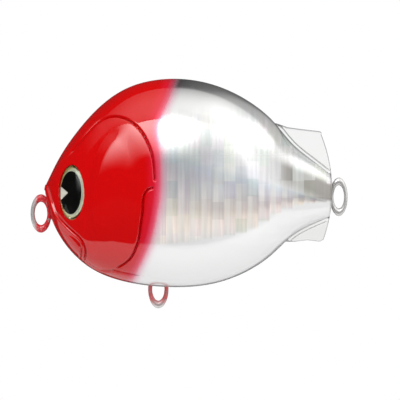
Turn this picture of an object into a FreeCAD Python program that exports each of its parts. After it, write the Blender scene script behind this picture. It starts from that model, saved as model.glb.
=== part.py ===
"""A compact topwater popper, modelled as the moulder and the assembler make it.

Two hollow half shells, welded on the lure's middle plane, clamp a clear tail fin, three figure-eight
wire hangers, the fixed ballast, a long-cast weight tube and a rattle drum. A sheet of foil lines each
flank, and each side of the head has an eye made of a foil disc, a pupil print and a domed lens.

Frame: millimetres, +Z up, -X out of the nose, +X out of the tail, Y across. The origin is the
centre of the line tie, the wire loop on the nose.
"""

import FreeCAD
import Part

import math
import os

Vector = FreeCAD.Vector

# Outline of the body in its middle plane, from the nose to the tail, as (x, z).
BACK = [
    (0.8, 4.5), (2.95, 8.8), (5.6, 12.7), (8.85, 16.35), (13.0, 19.35), (20.0, 21.0),
    (27.3, 19.95), (32.4, 17.5), (36.2, 14.4), (39.3, 10.8), (42.6, 8.1), (46.0, 5.4),
]
BELLY = [
    (0.65, 3.6), (1.6, -0.7), (4.2, -5.25), (8.0, -8.65), (13.2, -10.65), (19.5, -11.45),
    (26.8, -10.95), (32.1, -9.05), (36.2, -6.25), (39.4, -3.35), (42.3, -1.75), (46.0, -0.2),
]
# Half width of the body against the share of the way from nose to tail.
HALF_WIDTH = [
    (0.0, 2.6), (0.05, 4.4), (0.10, 6.0), (0.16, 7.6), (0.24, 9.2), (0.34, 10.5),
    (0.47, 11.0), (0.60, 10.5), (0.73, 8.3), (0.86, 5.0), (1.0, 2.0),
]
STATIONS = [
    0.0, 0.02, 0.05, 0.09, 0.14, 0.20, 0.27, 0.35, 0.44, 0.53, 0.62, 0.70, 0.78, 0.86, 0.93, 1.0,
]
ROUND_POWER = 2.25      # a section's corners: 2 is an ellipse, more is squarer
FACE_POWER = 4.2        # the same under the face, which is nearly flat across
FACE_ENDS = (0.10, 0.36)  # where the flat face starts and ends turning into the round belly
SECTION_POINTS = 17     # points on each half of a section

TAIL_ARC_CENTRE = (22.3, 3.67)   # the tail's rear edge is an arc seen from the side
TAIL_ARC_RADIUS = 23.1

WALL = 1.6
CAVITY = (0.225, 0.80)  # the hollow's ends, as shares of the way from nose to tail
FIT = 0.02              # clearance round what the shells clamp

# The popping cup in the face
CUP_CENTRE = (1.7, -1.9)
CUP_AXIS = (-0.9, -0.436)        # out of the mouth
CUP_HALF_HEIGHT = 5.4
CUP_HALF_WIDTH = 3.7
CUP_DEPTH = 3.0

# Hangers: a forged oval loop outside, welded to a long loop of wire locked in the shells
WIRE = 0.85
LOOP_RADIUS = 2.4                # the loop starts as a round ring of thick wire
LOOP_WIRE = 1.2
LOOP_DEPTH = 0.75                # share of its thickness across the lure that forging leaves it
LOOP_STEP = 0.4                  # between the two loops' centrelines where they are welded
HANGERS = {                      # loop centre, share of its width left, way in, anchor's length, half width
    "line_tie": ((0.0, 0.0), 0.54, (1, 0), 9.6, 0.95),
    "belly_hanger": ((18.3, -11.8), 0.53, (0, 1), 6.2, 1.15),
    "tail_hanger": ((46.45, 2.6), 0.46, (-1, 0), 6.75, 0.95),
}

# Eye
EYE_CENTRE = (4.75, 3.3)         # x, z as seen from the side
EYE_HALF_LENGTH = 2.45
EYE_HALF_HEIGHT = 4.43
EYE_SPAN = (1.8, 3.8)            # how far from its centre the eye's plane is taken from the head
EYE_RECESS = 0.95                # seat below the plane of the head
IRIS_THICKNESS = 0.25
PUPIL_HALF_LENGTH = 1.75
PUPIL_HALF_HEIGHT = 3.26
PUPIL_THICKNESS = 0.08
PUPIL_FORWARD = 0.35
NOTCH_HALF_ANGLE = 38.0          # of the notch in the pupil's front edge, degrees
NOTCH_TIP = 0.35                 # how far in front of the pupil's centre the notch ends
LENS_RISE = 0.45                 # crown of the lens above the plane of the head

# Tail fin: a clear plate clamped by the shells
FIN_THICKNESS = 1.2
FIN_OUTLINE = [
    (35.6, 12.2), (37.6, 13.6), (39.0, 13.3), (43.6, 12.8), (47.0, 12.4), (47.0, -4.5),
    (43.6, -4.3), (41.5, -4.17), (39.6, -4.4), (37.6, -3.6), (35.6, -3.6),
]
FIN_CORNER = 0.45
FIN_NOTCH = (37.2, -0.2, 5.2)    # front, bottom and top of the gap round the tail hanger

# Long-cast weight: a ball that a magnet holds forward and a cast throws back
TUBE_Z = 4.2
TUBE_ENDS = (14.6, 33.0)
TUBE_OUTER = 3.1
TUBE_INNER = 2.6
TUBE_END_WALL = 0.8
MAGNET_LENGTH = 2.0
CAST_BALL = 2.5
CAST_BALL_GAP = 0.05
RIBS = ((15.2, 16.6), (30.4, 31.8))
RIB_HALF_WIDTH = 4.6

# Rattle drum, across the head
DRUM_AXIS = (12.2, 11.2)
DRUM_HALF_LENGTH = 6.3
DRUM_OUTER = 2.5
DRUM_INNER = 1.8
DRUM_WEB = 0.5
LID_LENGTH = 1.0
RATTLE_BALL = 1.7
SOCKET_OUTER = 3.4
SOCKET_START = 4.4

# Fixed ballast, in round pockets of one boss
BALLAST = {"belly_ballast": ((24.7, -5.6), 2.75), "tail_ballast": ((30.0, -4.4), 2.25)}
BALLAST_BOSS = ((21.2, 32.9), (-12.0, -1.6), 4.5)  # x ends, z ends, half width
HANGER_BOSS = ((16.0, 20.6), (-12.0, -3.4), 3.2)
BACK_BOSS = ((22.0, 17.2), 1.9, 4.5)
PINS = ((8.2, 8.8), (22.0, 17.2), (27.5, -8.0))
PIN_RADIUS = 0.8
PIN_LENGTH = 1.8

# Foil on the inside of each flank
FOIL_THICKNESS = 0.2
FOIL_GAP = 0.05
FOIL_ENDS = (17.6, 33.2)
FOIL_INNER_EDGE = 5.3            # the foil keeps this far from the middle plane

FAR = 60.0                       # longer than the lure


def second_derivatives(ts, vs):
    """The natural cubic spline's second derivative at each knot."""
    last = len(ts) - 1
    above, right, bends = [0.0] * (last + 1), [0.0] * (last + 1), [0.0] * (last + 1)
    for i in range(1, last):
        before, after = ts[i] - ts[i - 1], ts[i + 1] - ts[i]
        pivot = 2 * (before + after) - before * above[i - 1]
        change = (vs[i + 1] - vs[i]) / after - (vs[i] - vs[i - 1]) / before
        above[i] = after / pivot
        right[i] = (6 * change - before * right[i - 1]) / pivot
    for i in range(last - 1, 0, -1):
        bends[i] = right[i] - above[i] * bends[i + 1]
    return bends


def spline_value(ts, vs, bends, t):
    """The spline's value at t."""
    i = max(k for k in range(len(ts) - 1) if ts[k] <= t or k == 0)
    step = ts[i + 1] - ts[i]
    f = (t - ts[i]) / step
    g = 1 - f
    curve = (g**3 - g) * bends[i] + (f**3 - f) * bends[i + 1]
    return g * vs[i] + f * vs[i + 1] + step * step / 6 * curve


class Outline:
    """A smooth line through points of the middle plane, read by the share of its length."""

    SAMPLES = 1200

    def __init__(self, points):
        ts = [0.0]
        for p, q in zip(points, points[1:]):
            ts.append(ts[-1] + math.dist(p, q))
        axes = [[p[k] for p in points] for k in (0, 1)]
        bends = [second_derivatives(ts, vs) for vs in axes]
        self.line = []
        for n in range(self.SAMPLES + 1):
            t = ts[-1] * n / self.SAMPLES
            self.line.append([spline_value(ts, axes[k], bends[k], t) for k in (0, 1)])
        self.reach = [0.0]
        for p, q in zip(self.line, self.line[1:]):
            self.reach.append(self.reach[-1] + math.dist(p, q))

    def at(self, share):
        """The point (x, z) at that share of the outline's length."""
        wanted = share * self.reach[-1]
        i = min(sum(r < wanted for r in self.reach), self.SAMPLES)
        if i == 0:
            return self.line[0]
        span = self.reach[i] - self.reach[i - 1]
        f = (wanted - self.reach[i - 1]) / span
        return [a + f * (b - a) for a, b in zip(self.line[i - 1], self.line[i])]


back, belly = Outline(BACK), Outline(BELLY)
WIDTH_AT = [s for s, _ in HALF_WIDTH]
WIDTH_VALUES = [w for _, w in HALF_WIDTH]
WIDTH_BENDS = second_derivatives(WIDTH_AT, WIDTH_VALUES)


def smooth_step(low, high, value):
    share = min(1.0, max(0.0, (value - low) / (high - low)))
    return share * share * (3 - 2 * share)


def half_section(share, inset, side):
    """One side of the body's section, from the back to the belly, as a curve."""
    top, bottom = back.at(share), belly.at(share)
    height = math.dist(top, bottom) / 2
    up = [(a - b) / (2 * height) for a, b in zip(top, bottom)]
    middle = [(a + b) / 2 for a, b in zip(top, bottom)]
    width = spline_value(WIDTH_AT, WIDTH_VALUES, WIDTH_BENDS, share) - inset
    height -= inset
    face = FACE_POWER + (ROUND_POWER - FACE_POWER) * smooth_step(*FACE_ENDS, share)
    points = []
    for n in range(SECTION_POINTS):
        angle = math.pi * n / (SECTION_POINTS - 1)
        power = ROUND_POWER if angle < math.pi / 2 else face
        across = width * abs(math.sin(angle)) ** (2 / power)
        along = height * abs(math.cos(angle)) ** (2 / power) * (1 if angle < math.pi / 2 else -1)
        points.append(Vector(middle[0] + up[0] * along, side * across, middle[1] + up[1] * along))
    for end in (0, -1):
        points[end].y = 0.0
    reach = [0.0]
    for p, q in zip(points, points[1:]):
        reach.append(reach[-1] + (q - p).Length)
    curve = Part.BSplineCurve()
    curve.interpolate(
        Points=points, Parameters=reach, Scale=False,
        InitialTangent=Vector(0, side, 0), FinalTangent=Vector(0, -side, 0),
    )
    return curve.toShape()


def body_form(inset=0.0, shares=STATIONS):
    """The whole body's form, made smaller all over by inset."""
    wires = [Part.Wire([half_section(s, inset, -1), half_section(s, inset, 1)]) for s in shares]
    return Part.makeLoft(wires, True, False, False, 5)


def block(xs, ys, zs):
    return Part.makeBox(xs[1] - xs[0], ys[1] - ys[0], zs[1] - zs[0], Vector(xs[0], ys[0], zs[0]))


def cross_cylinder(centre, radius, ys):
    """A cylinder along Y at (x, z)."""
    return Part.makeCylinder(
        radius, ys[1] - ys[0], Vector(centre[0], ys[0], centre[1]), Vector(0, 1, 0)
    )


def long_cylinder(z, radius, xs):
    """A cylinder along X."""
    return Part.makeCylinder(radius, xs[1] - xs[0], Vector(xs[0], 0, z), Vector(1, 0, 0))


# ---------------------------------------------------------------- wire hangers


def arc(centre, radius, from_angle, to_angle):
    """An arc in the XZ plane. Angles are in degrees from +X towards +Z."""
    angles = (from_angle, (from_angle + to_angle) / 2, to_angle)
    ends = [
        Vector(centre[0] + radius * math.cos(a), 0, centre[1] + radius * math.sin(a))
        for a in map(math.radians, angles)
    ]
    return Part.Arc(*ends).toShape()


def oval_loop(centre, width_share, clearance):
    """A ring of thick wire, forged narrower along the lure and a little flatter across it."""
    x, z = centre
    ring = Part.makeTorus(
        LOOP_RADIUS, LOOP_WIRE / 2 + clearance / width_share, Vector(0, 0, 0), Vector(0, 1, 0)
    )
    forging = FreeCAD.Matrix()
    forging.scale(Vector(width_share, LOOP_DEPTH, 1.0))
    forged = ring.transformGeometry(forging)
    forged.translate(Vector(x, 0, z))
    return forged


def anchor_line(start, way, length, half_width):
    """The long loop inside the shells: two straight strands and two round ends."""
    (x, z), (dx, dz) = start, way
    heading = math.degrees(math.atan2(dz, dx))
    near = (x + dx * half_width, z + dz * half_width)
    far = (x + dx * (length - half_width), z + dz * (length - half_width))
    left, right = (-dz * half_width, dx * half_width), (dz * half_width, -dx * half_width)

    def strand(p, q):
        return Part.makeLine(Vector(p[0], 0, p[1]), Vector(q[0], 0, q[1]))

    def beside(p, offset):
        return (p[0] + offset[0], p[1] + offset[1])

    return [
        arc(near, half_width, heading + 90, heading + 270),
        strand(beside(near, right), beside(far, right)),
        arc(far, half_width, heading - 90, heading + 90),
        strand(beside(far, left), beside(near, left)),
    ]


def wire_along(edges, radius):
    """A closed round wire along those edges."""
    spine = Part.Wire(edges)
    first = edges[0]
    start = first.valueAt(first.FirstParameter)
    tangent = first.tangentAt(first.FirstParameter)
    ring = Part.Wire(Part.makeCircle(radius, start, tangent))
    return Part.Solid(spine.makePipeShell([ring], True, False))


def hanger(name, clearance=0.0):
    """A figure eight. The two loops meet, and are welded, where they cross."""
    centre, width_share, way, length, half_width = HANGERS[name]
    reach = LOOP_STEP + LOOP_RADIUS * (width_share if way[0] else 1)
    start = (centre[0] + way[0] * reach, centre[1] + way[1] * reach)
    loop = oval_loop(centre, width_share, clearance)
    anchor = wire_along(anchor_line(start, way, length, half_width), WIRE / 2 + clearance)
    return loop.fuse(anchor).removeSplitter()


# ---------------------------------------------------------------- eyes


def flank_point(form, x, z, side):
    """The point of the body's surface that is seen at (x, z) from that side."""
    line = Part.makeLine(Vector(x, 0, z), Vector(x, side * FAR, z))
    return max((v.Point for v in form.common(line).Vertexes), key=lambda p: side * p.y)


def eye_placement(form, side):
    """The eye's own frame: X forward, Y up the head, Z out of the head."""
    (x, z), (dx, dz) = EYE_CENTRE, EYE_SPAN
    forward = flank_point(form, x - dx, z, side) - flank_point(form, x + dx, z, side)
    upward = flank_point(form, x, z + dz, side) - flank_point(form, x, z - dz, side)
    out = (forward.cross(upward) if side < 0 else upward.cross(forward)).normalize()
    if out.y * side < 0:
        out = out * -1
    upward = (upward - out * upward.dot(out)).normalize()
    forward = upward.cross(out)
    if forward.x > 0:
        forward = forward * -1
    rim = [flank_point(form, x + sx * dx, z, side).dot(out) for sx in (-1, 1)]
    rim += [flank_point(form, x, z + sz * dz, side).dot(out) for sz in (-1, 1)]
    centre = flank_point(form, x, z, side)
    centre = centre + out * (sum(rim) / len(rim) - centre.dot(out))
    return centre, forward, upward, out


def oval_plate(frame, half_length, half_height, low, high, forward_shift=0.0):
    """An oval plate in the eye's frame, from height low to high out of the head."""
    centre, forward, upward, out = frame
    base = centre + out * low + forward * forward_shift
    major = Part.Ellipse(base + upward * half_height, base + forward * half_length, base)
    face = Part.Face(Part.Wire(major.toShape()))
    return face.extrude(out * (high - low))


def eye_pupil(frame, low):
    """The printed pupil, with a notch in its front edge."""
    centre, forward, upward, out = frame
    plate = oval_plate(
        frame, PUPIL_HALF_LENGTH, PUPIL_HALF_HEIGHT, low, low + PUPIL_THICKNESS, PUPIL_FORWARD
    )
    tip = centre + forward * (PUPIL_FORWARD + NOTCH_TIP) + out * (low - 1)
    reach = 4.0
    spread = reach * math.tan(math.radians(NOTCH_HALF_ANGLE))
    corners = [tip, tip + forward * reach + upward * spread, tip + forward * reach - upward * spread]
    wedge = Part.Face(Part.makePolygon(corners + [tip])).extrude(out * 3)
    return plate.cut(wedge)


def eye_lens(frame, low, pupil):
    """The domed lens: flat where it meets the foil, crowned outside."""
    centre, forward, upward, out = frame
    crown = Part.makeSphere(1.0)
    height = LENS_RISE - low
    place = FreeCAD.Matrix(
        forward.x * EYE_HALF_LENGTH, upward.x * EYE_HALF_HEIGHT, out.x * height, 0,
        forward.y * EYE_HALF_LENGTH, upward.y * EYE_HALF_HEIGHT, out.y * height, 0,
        forward.z * EYE_HALF_LENGTH, upward.z * EYE_HALF_HEIGHT, out.z * height, 0,
        0, 0, 0, 1,
    )
    dome = crown.transformGeometry(place)
    dome.translate(centre + out * low)
    keep = oval_plate(frame, 3 * EYE_HALF_LENGTH, 3 * EYE_HALF_HEIGHT, low, LENS_RISE + 1)
    return dome.common(keep).cut(pupil)


# ---------------------------------------------------------------- fin and fillings


def fin_plate(clearance=0.0):
    """The fin's plate, with the gap in which the shells hold the tail hanger."""
    corners = [Vector(x, 0, z) for x, z in FIN_OUTLINE]
    half = FIN_THICKNESS / 2 + clearance
    face = Part.Face(Part.makePolygon(corners + corners[:1]))
    plate = face.extrude(Vector(0, 2 * half, 0))
    plate.translate(Vector(0, -half, 0))
    front, bottom, top = FIN_NOTCH
    gap = block((front + clearance, FAR), (-FAR, FAR), (bottom + clearance, top - clearance))
    plate = plate.cut(gap).common(tail_disc())
    return plate


def tail_disc():
    """The disc whose edge is the tail's rear edge."""
    return cross_cylinder(TAIL_ARC_CENTRE, TAIL_ARC_RADIUS, (-FAR, FAR))


def rounded_fin():
    """The fin with its outer corners rounded off."""
    plate = fin_plate()
    corners = []
    for edge in plate.Edges:
        ends = [v.Point for v in edge.Vertexes]
        if len(ends) != 2 or abs(ends[0].y - ends[1].y) < FIN_THICKNESS / 2:
            continue
        x, z = ends[0].x, ends[0].z
        if x > 43 and (z > 10 or z < -3):
            corners.append(edge)
    return plate.makeFillet(FIN_CORNER, corners)


def cast_tube():
    low, high = TUBE_ENDS
    outer = long_cylinder(TUBE_Z, TUBE_OUTER, TUBE_ENDS)
    return outer.cut(long_cylinder(TUBE_Z, TUBE_INNER, (low - 1, high - TUBE_END_WALL)))


def cast_magnet():
    low = TUBE_ENDS[0]
    return long_cylinder(TUBE_Z, TUBE_INNER, (low, low + MAGNET_LENGTH))


def cast_ball():
    x = TUBE_ENDS[0] + MAGNET_LENGTH + CAST_BALL_GAP + CAST_BALL
    return Part.makeSphere(CAST_BALL, Vector(x, 0, TUBE_Z))


def rattle_drum():
    drum = cross_cylinder(DRUM_AXIS, DRUM_OUTER, (-DRUM_HALF_LENGTH, DRUM_HALF_LENGTH))
    for side in (-1, 1):
        ends = sorted((side * DRUM_WEB, side * (DRUM_HALF_LENGTH + 1)))
        drum = drum.cut(cross_cylinder(DRUM_AXIS, DRUM_INNER, ends))
    return drum


def rattle_lid(side):
    ends = sorted((side * (DRUM_HALF_LENGTH - LID_LENGTH), side * DRUM_HALF_LENGTH))
    return cross_cylinder(DRUM_AXIS, DRUM_INNER, ends)


def rattle_ball(side):
    middle = (DRUM_WEB + DRUM_HALF_LENGTH - LID_LENGTH) / 2
    return Part.makeSphere(RATTLE_BALL, Vector(DRUM_AXIS[0], side * middle, DRUM_AXIS[1]))


def foil(side):
    """A curved sheet that lines one flank's inner wall."""
    ends = [CAVITY[0] + (CAVITY[1] - CAVITY[0]) * n / 10 for n in range(11)]
    outer = body_form(WALL + FOIL_GAP, ends)
    inner = body_form(WALL + FOIL_GAP + FOIL_THICKNESS, ends)
    ys = sorted((side * FOIL_INNER_EDGE, side * FAR))
    return outer.cut(inner).common(block(FOIL_ENDS, ys, (-FAR, FAR)))


# ---------------------------------------------------------------- shells


def cup():
    """The hollow in the face, as a lens-shaped solid."""
    out = Vector(CUP_AXIS[0], 0, CUP_AXIS[1]).normalize()
    along = Vector(-out.z, 0, out.x)
    place = FreeCAD.Matrix(
        along.x * CUP_HALF_HEIGHT, 0, out.x * CUP_DEPTH, CUP_CENTRE[0],
        0, CUP_HALF_WIDTH, 0, 0,
        along.z * CUP_HALF_HEIGHT, 0, out.z * CUP_DEPTH, CUP_CENTRE[1],
        0, 0, 0, 1,
    )
    return Part.makeSphere(1.0).transformGeometry(place)


def hollow():
    """The space inside the shells, less the bosses, ribs and sockets that stand in it."""
    ends = [CAVITY[0] + (CAVITY[1] - CAVITY[0]) * n / 10 for n in range(11)]
    space = body_form(WALL, ends)
    for xs, zs, half in (BALLAST_BOSS, HANGER_BOSS):
        space = space.cut(block(xs, (-half, half), zs))
    for xs in RIBS:
        space = space.cut(block(xs, (-RIB_HALF_WIDTH, RIB_HALF_WIDTH), (-FAR, FAR)))
    centre, radius, half = BACK_BOSS
    space = space.cut(cross_cylinder(centre, radius, (-half, half)))
    for side in (-1, 1):
        ys = sorted((side * SOCKET_START, side * FAR))
        space = space.cut(cross_cylinder(DRUM_AXIS, SOCKET_OUTER, ys))
    return space


def seats():
    """What the shells leave free for the pieces that they clamp."""
    taken = [fin_plate(FIT), long_cylinder(TUBE_Z, TUBE_OUTER + FIT, TUBE_ENDS)]
    reach = DRUM_HALF_LENGTH + FIT
    taken.append(cross_cylinder(DRUM_AXIS, DRUM_OUTER + FIT, (-reach, reach)))
    taken += [hanger(name, FIT) for name in HANGERS]
    for (x, z), radius in BALLAST.values():
        taken.append(Part.makeSphere(radius + FIT, Vector(x, 0, z)))
    return taken


def shell(form, space, side, eye_seat):
    """One half shell. The left one carries the pins, and the right one their holes."""
    half = form.common(block((-FAR, FAR), sorted((0, side * FAR)), (-FAR, FAR)))
    for tool in [space, cup(), eye_seat, *seats()]:
        half = half.cut(tool)
    for centre in PINS:
        if side < 0:
            half = half.fuse(cross_cylinder(centre, PIN_RADIUS, (-1.0, PIN_LENGTH)))
        else:
            half = half.cut(cross_cylinder(centre, PIN_RADIUS + FIT, (-1.0, PIN_LENGTH + FIT)))
    return half


# ---------------------------------------------------------------- assembly


def build():
    parts = {}
    form = body_form().common(tail_disc())
    space = hollow()
    pupil_low = IRIS_THICKNESS - EYE_RECESS
    for word, side in (("left", -1), ("right", 1)):
        frame = eye_placement(form, side)
        seat = oval_plate(
            frame, EYE_HALF_LENGTH + FIT, EYE_HALF_HEIGHT + FIT, -EYE_RECESS, FAR / 4
        )
        parts[f"body_shell_{word}"] = shell(form, space, side, seat)
        parts[f"flank_foil_{word}"] = foil(side)
        parts[f"eye_foil_{word}"] = oval_plate(
            frame, EYE_HALF_LENGTH, EYE_HALF_HEIGHT, -EYE_RECESS, pupil_low
        )
        parts[f"eye_pupil_{word}"] = eye_pupil(frame, pupil_low)
        parts[f"eye_lens_{word}"] = eye_lens(frame, pupil_low, parts[f"eye_pupil_{word}"])
        parts[f"rattle_lid_{word}"] = rattle_lid(side)
        parts[f"rattle_ball_{word}"] = rattle_ball(side)
    for name in HANGERS:
        parts[name] = hanger(name)
    for name, ((x, z), radius) in BALLAST.items():
        parts[name] = Part.makeSphere(radius, Vector(x, 0, z))
    parts["tail_fin"] = rounded_fin()
    parts["cast_tube"] = cast_tube()
    parts["cast_magnet"] = cast_magnet()
    parts["cast_ball"] = cast_ball()
    parts["rattle_drum"] = rattle_drum()
    return parts


os.makedirs("parts", exist_ok=True)
for node, shape in build().items():
    solids = shape.Solids
    whole = solids[0] if len(solids) == 1 else Part.makeCompound(solids)
    whole.exportStep(f"parts/{node}.step")
    print(f"{node:20s} solids {len(solids)} volume {whole.Volume:9.2f} valid {whole.isValid()}")
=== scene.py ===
"""The finished look of the topwater popper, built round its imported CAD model.

Each moulded half shell gets a sculpted skin with the same form as the CAD one: gill cover, cheek, lips,
face cup and eye sockets. The clear fin, the irises and the lenses are meshes of their own. The wire
hangers, pupils, flank foils and inner weights stay the CAD's, with procedural materials.

Outline work is in millimetres, in the part's frame, and turned into metres when a mesh is made.
"""

import math

import bpy
import numpy as np
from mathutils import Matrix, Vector
from mathutils.geometry import delaunay_2d_cdt


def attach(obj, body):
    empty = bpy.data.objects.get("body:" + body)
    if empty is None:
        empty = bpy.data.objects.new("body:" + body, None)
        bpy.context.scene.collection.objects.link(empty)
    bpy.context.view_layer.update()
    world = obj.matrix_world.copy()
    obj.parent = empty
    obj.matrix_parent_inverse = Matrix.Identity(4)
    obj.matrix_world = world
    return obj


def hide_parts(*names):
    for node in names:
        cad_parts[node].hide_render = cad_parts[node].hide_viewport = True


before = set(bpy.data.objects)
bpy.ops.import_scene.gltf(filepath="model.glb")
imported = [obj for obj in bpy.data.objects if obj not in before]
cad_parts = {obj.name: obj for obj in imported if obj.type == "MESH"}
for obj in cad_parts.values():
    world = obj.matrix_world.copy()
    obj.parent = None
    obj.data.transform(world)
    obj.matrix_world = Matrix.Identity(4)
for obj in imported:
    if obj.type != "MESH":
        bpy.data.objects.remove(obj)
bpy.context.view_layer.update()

MM = 0.001
LEFT, RIGHT = -1, 1
SIDES = {"left": LEFT, "right": RIGHT}

# ---- the body's form, as the CAD has it

BACK = [
    (0.8, 4.5), (2.95, 8.8), (5.6, 12.7), (8.85, 16.35), (13.0, 19.35), (20.0, 21.0),
    (27.3, 19.95), (32.4, 17.5), (36.2, 14.4), (39.3, 10.8), (42.6, 8.1), (46.0, 5.4),
]
BELLY = [
    (0.65, 3.6), (1.6, -0.7), (4.2, -5.25), (8.0, -8.65), (13.2, -10.65), (19.5, -11.45),
    (26.8, -10.95), (32.1, -9.05), (36.2, -6.25), (39.4, -3.35), (42.3, -1.75), (46.0, -0.2),
]
HALF_WIDTH = [
    (0.0, 2.6), (0.05, 4.4), (0.10, 6.0), (0.16, 7.6), (0.24, 9.2), (0.34, 10.5),
    (0.47, 11.0), (0.60, 10.5), (0.73, 8.3), (0.86, 5.0), (1.0, 2.0),
]
ROUND_POWER = 2.25
FACE_POWER = 4.2
FACE_ENDS = (0.10, 0.36)
TAIL_ARC_CENTRE = (22.3, 3.67)
TAIL_ARC_RADIUS = 23.1
TAIL_FROM_X = 40.0  # only points behind this can be past the tail's arc
TAIL_SHARE = 0.9  # the length past this share is drawn in or out to end on the arc
WALL = 1.6
CAVITY = (0.225, 0.80)  # the hollow, as shares of the length
SEAM_GAP = 0.006  # half of the hairline between the shells

CUP_CENTRE = (1.7, -1.9)
CUP_AXIS = (-0.9, -0.436)
CUP_HALF_HEIGHT = 5.4
CUP_HALF_WIDTH = 3.7
CUP_DEPTH = 3.0
CUP_REACH = 5.0  # the cup leaves points further than this along its axis alone

SECTION_SAMPLES = 721  # points of a section before they are spaced evenly
LINE_SAMPLES = 48  # pieces of a sculpted line
FAR = 1e9  # larger than any distance here


def spline(ts, vs):
    """The natural cubic spline through those knots, as a function of arrays."""
    ts, vs = np.asarray(ts, float), np.asarray(vs, float)
    steps = np.diff(ts)
    size = len(ts)
    matrix, change = np.eye(size), np.zeros(size)
    for i in range(1, size - 1):
        matrix[i, i - 1 : i + 2] = steps[i - 1], 2 * (steps[i - 1] + steps[i]), steps[i]
        change[i] = 6 * ((vs[i + 1] - vs[i]) / steps[i] - (vs[i] - vs[i - 1]) / steps[i - 1])
    bends = np.linalg.solve(matrix, change)

    def value(t):
        i = np.clip(np.searchsorted(ts, t, side="right") - 1, 0, size - 2)
        f = (t - ts[i]) / steps[i]
        g = 1 - f
        curve = (g**3 - g) * bends[i] + (f**3 - f) * bends[i + 1]
        return g * vs[i] + f * vs[i + 1] + steps[i] ** 2 / 6 * curve

    return value


def smooth_line(points, samples=1200):
    """A smooth line through points, as samples and the distance along it to each."""
    points = np.asarray(points, float)
    ts = np.concatenate([[0], np.cumsum(np.linalg.norm(np.diff(points, axis=0), axis=1))])
    t = np.linspace(0, ts[-1], samples + 1)
    line = np.stack([spline(ts, points[:, k])(t) for k in (0, 1)], axis=1)
    reach = np.concatenate([[0], np.cumsum(np.linalg.norm(np.diff(line, axis=0), axis=1))])
    return line, reach


def at_share(outline, share):
    """Points of an outline at those shares of its length."""
    line, reach = outline
    wanted = np.asarray(share) * reach[-1]
    return np.stack([np.interp(wanted, reach, line[:, k]) for k in (0, 1)], axis=-1)


def smooth_step(low, high, value):
    share = np.clip((value - low) / (high - low), 0, 1)
    return share * share * (3 - 2 * share)


back, belly = smooth_line(BACK), smooth_line(BELLY)
width_at = spline(*zip(*HALF_WIDTH))


def section_frame(share, inset=0.0):
    """Middle, up direction, half height and half width of the sections at those shares."""
    top, bottom = at_share(back, share), at_share(belly, share)
    height = np.linalg.norm(top - bottom, axis=-1) / 2
    up = (top - bottom) / (2 * height[..., None])
    return (top + bottom) / 2, up, height - inset, width_at(share) - inset


def section_points(shares, count, side, inset=0.0):
    """A grid of points on one side of the body: a row for each share, evenly spaced from back to belly."""
    middle, up, height, width = section_frame(shares, inset)
    turn = np.linspace(0, np.pi, SECTION_SAMPLES)
    across_unit, along_unit = np.sin(turn), np.cos(turn)
    rows = []
    for i, share in enumerate(shares):
        face = FACE_POWER + (ROUND_POWER - FACE_POWER) * smooth_step(*FACE_ENDS, share)
        power = np.where(along_unit > 0, ROUND_POWER, face)
        reach = (across_unit**power + np.abs(along_unit) ** power) ** (-1 / power)
        across, along = width[i] * across_unit * reach, height[i] * along_unit * reach
        travelled = np.concatenate([[0], np.cumsum(np.hypot(np.diff(across), np.diff(along)))])
        even = np.linspace(0, travelled[-1], count)
        across, along = np.interp(even, travelled, across), np.interp(even, travelled, along)
        x, z = (middle[i, k] + up[i, k] * along for k in (0, 1))
        rows.append(np.stack([x, side * across, z], axis=1))
    return np.array(rows)


def grid_normals(grid, side):
    """Unit normals of a grid of points, out of the body."""
    normals = np.cross(np.gradient(grid, axis=0), np.gradient(grid, axis=1)) * side
    length = np.linalg.norm(normals, axis=2, keepdims=True)
    return normals / np.maximum(length, 1e-9)


# ---- meshes


def mesh_object(name, vertices, faces, smooth_angle):
    """A mesh piece from points in millimetres, smooth up to that angle in degrees."""
    mesh = bpy.data.meshes.new(name)
    mesh.from_pydata((np.asarray(vertices, float) * MM).tolist(), [], [list(f) for f in faces])
    mesh.update()
    mesh.shade_smooth()
    mesh.set_sharp_from_angle(angle=math.radians(smooth_angle))
    piece = bpy.data.objects.new(name, mesh)
    bpy.context.scene.collection.objects.link(piece)
    return piece


def grid_faces(start, rows, columns, flip):
    """Quads between neighbouring rows and columns of points that begin at index start."""
    faces = []
    for i in range(rows - 1):
        for j in range(columns - 1):
            a = start + i * columns + j
            quad = (a, a + 1, a + columns + 1, a + columns)
            faces.append(quad[::-1] if flip else quad)
    return faces


def row_indices(start, row, columns):
    """The indices of one row of a grid of points that begins at index start."""
    return [start + row * columns + j for j in range(columns)]


# ---- sculpted lines of the head

GILL_EDGE = [
    (3.7, 8.1), (5.4, 10.15), (7.1, 12.05), (8.6, 13.65), (10.1, 14.7), (11.6, 15.0), (13.0, 14.75),
    (14.3, 14.1), (15.4, 13.1), (16.45, 11.5), (17.3, 9.35), (17.7, 7.3), (17.82, 4.85),
]
GILL_NOTCH = [
    (17.75, 4.0), (16.85, 3.75), (16.3, 3.1), (15.95, 0.5), (15.6, -2.0), (15.35, -3.9),
    (15.0, -5.0), (14.35, -6.5), (12.95, -7.9), (11.3, -8.8),
]
CHEEK_EDGE = [
    (15.2, 12.95), (13.55, 13.35), (11.75, 12.75), (10.1, 11.2), (8.9, 9.2), (7.95, 6.5),
    (7.35, 2.9), (7.2, -0.25), (7.75, -2.9), (9.0, -5.0),
]
BROW_LINE = [(1.25, 4.9), (2.35, 7.4), (4.4, 10.4), (6.4, 12.7), (8.0, 14.2), (9.6, 15.3)]
LIP_LINE = [
    (1.0, 4.4), (1.75, 2.0), (2.55, -0.1), (3.7, -1.5), (5.2, -2.9), (6.4, -4.1),
    (6.95, -5.3), (7.0, -6.5), (6.6, -7.5),
]
JAW_LINE = [(3.75, -3.2), (4.5, -3.3), (5.5, -4.1), (6.3, -5.2), (6.35, -6.3), (6.0, -7.0)]
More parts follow.
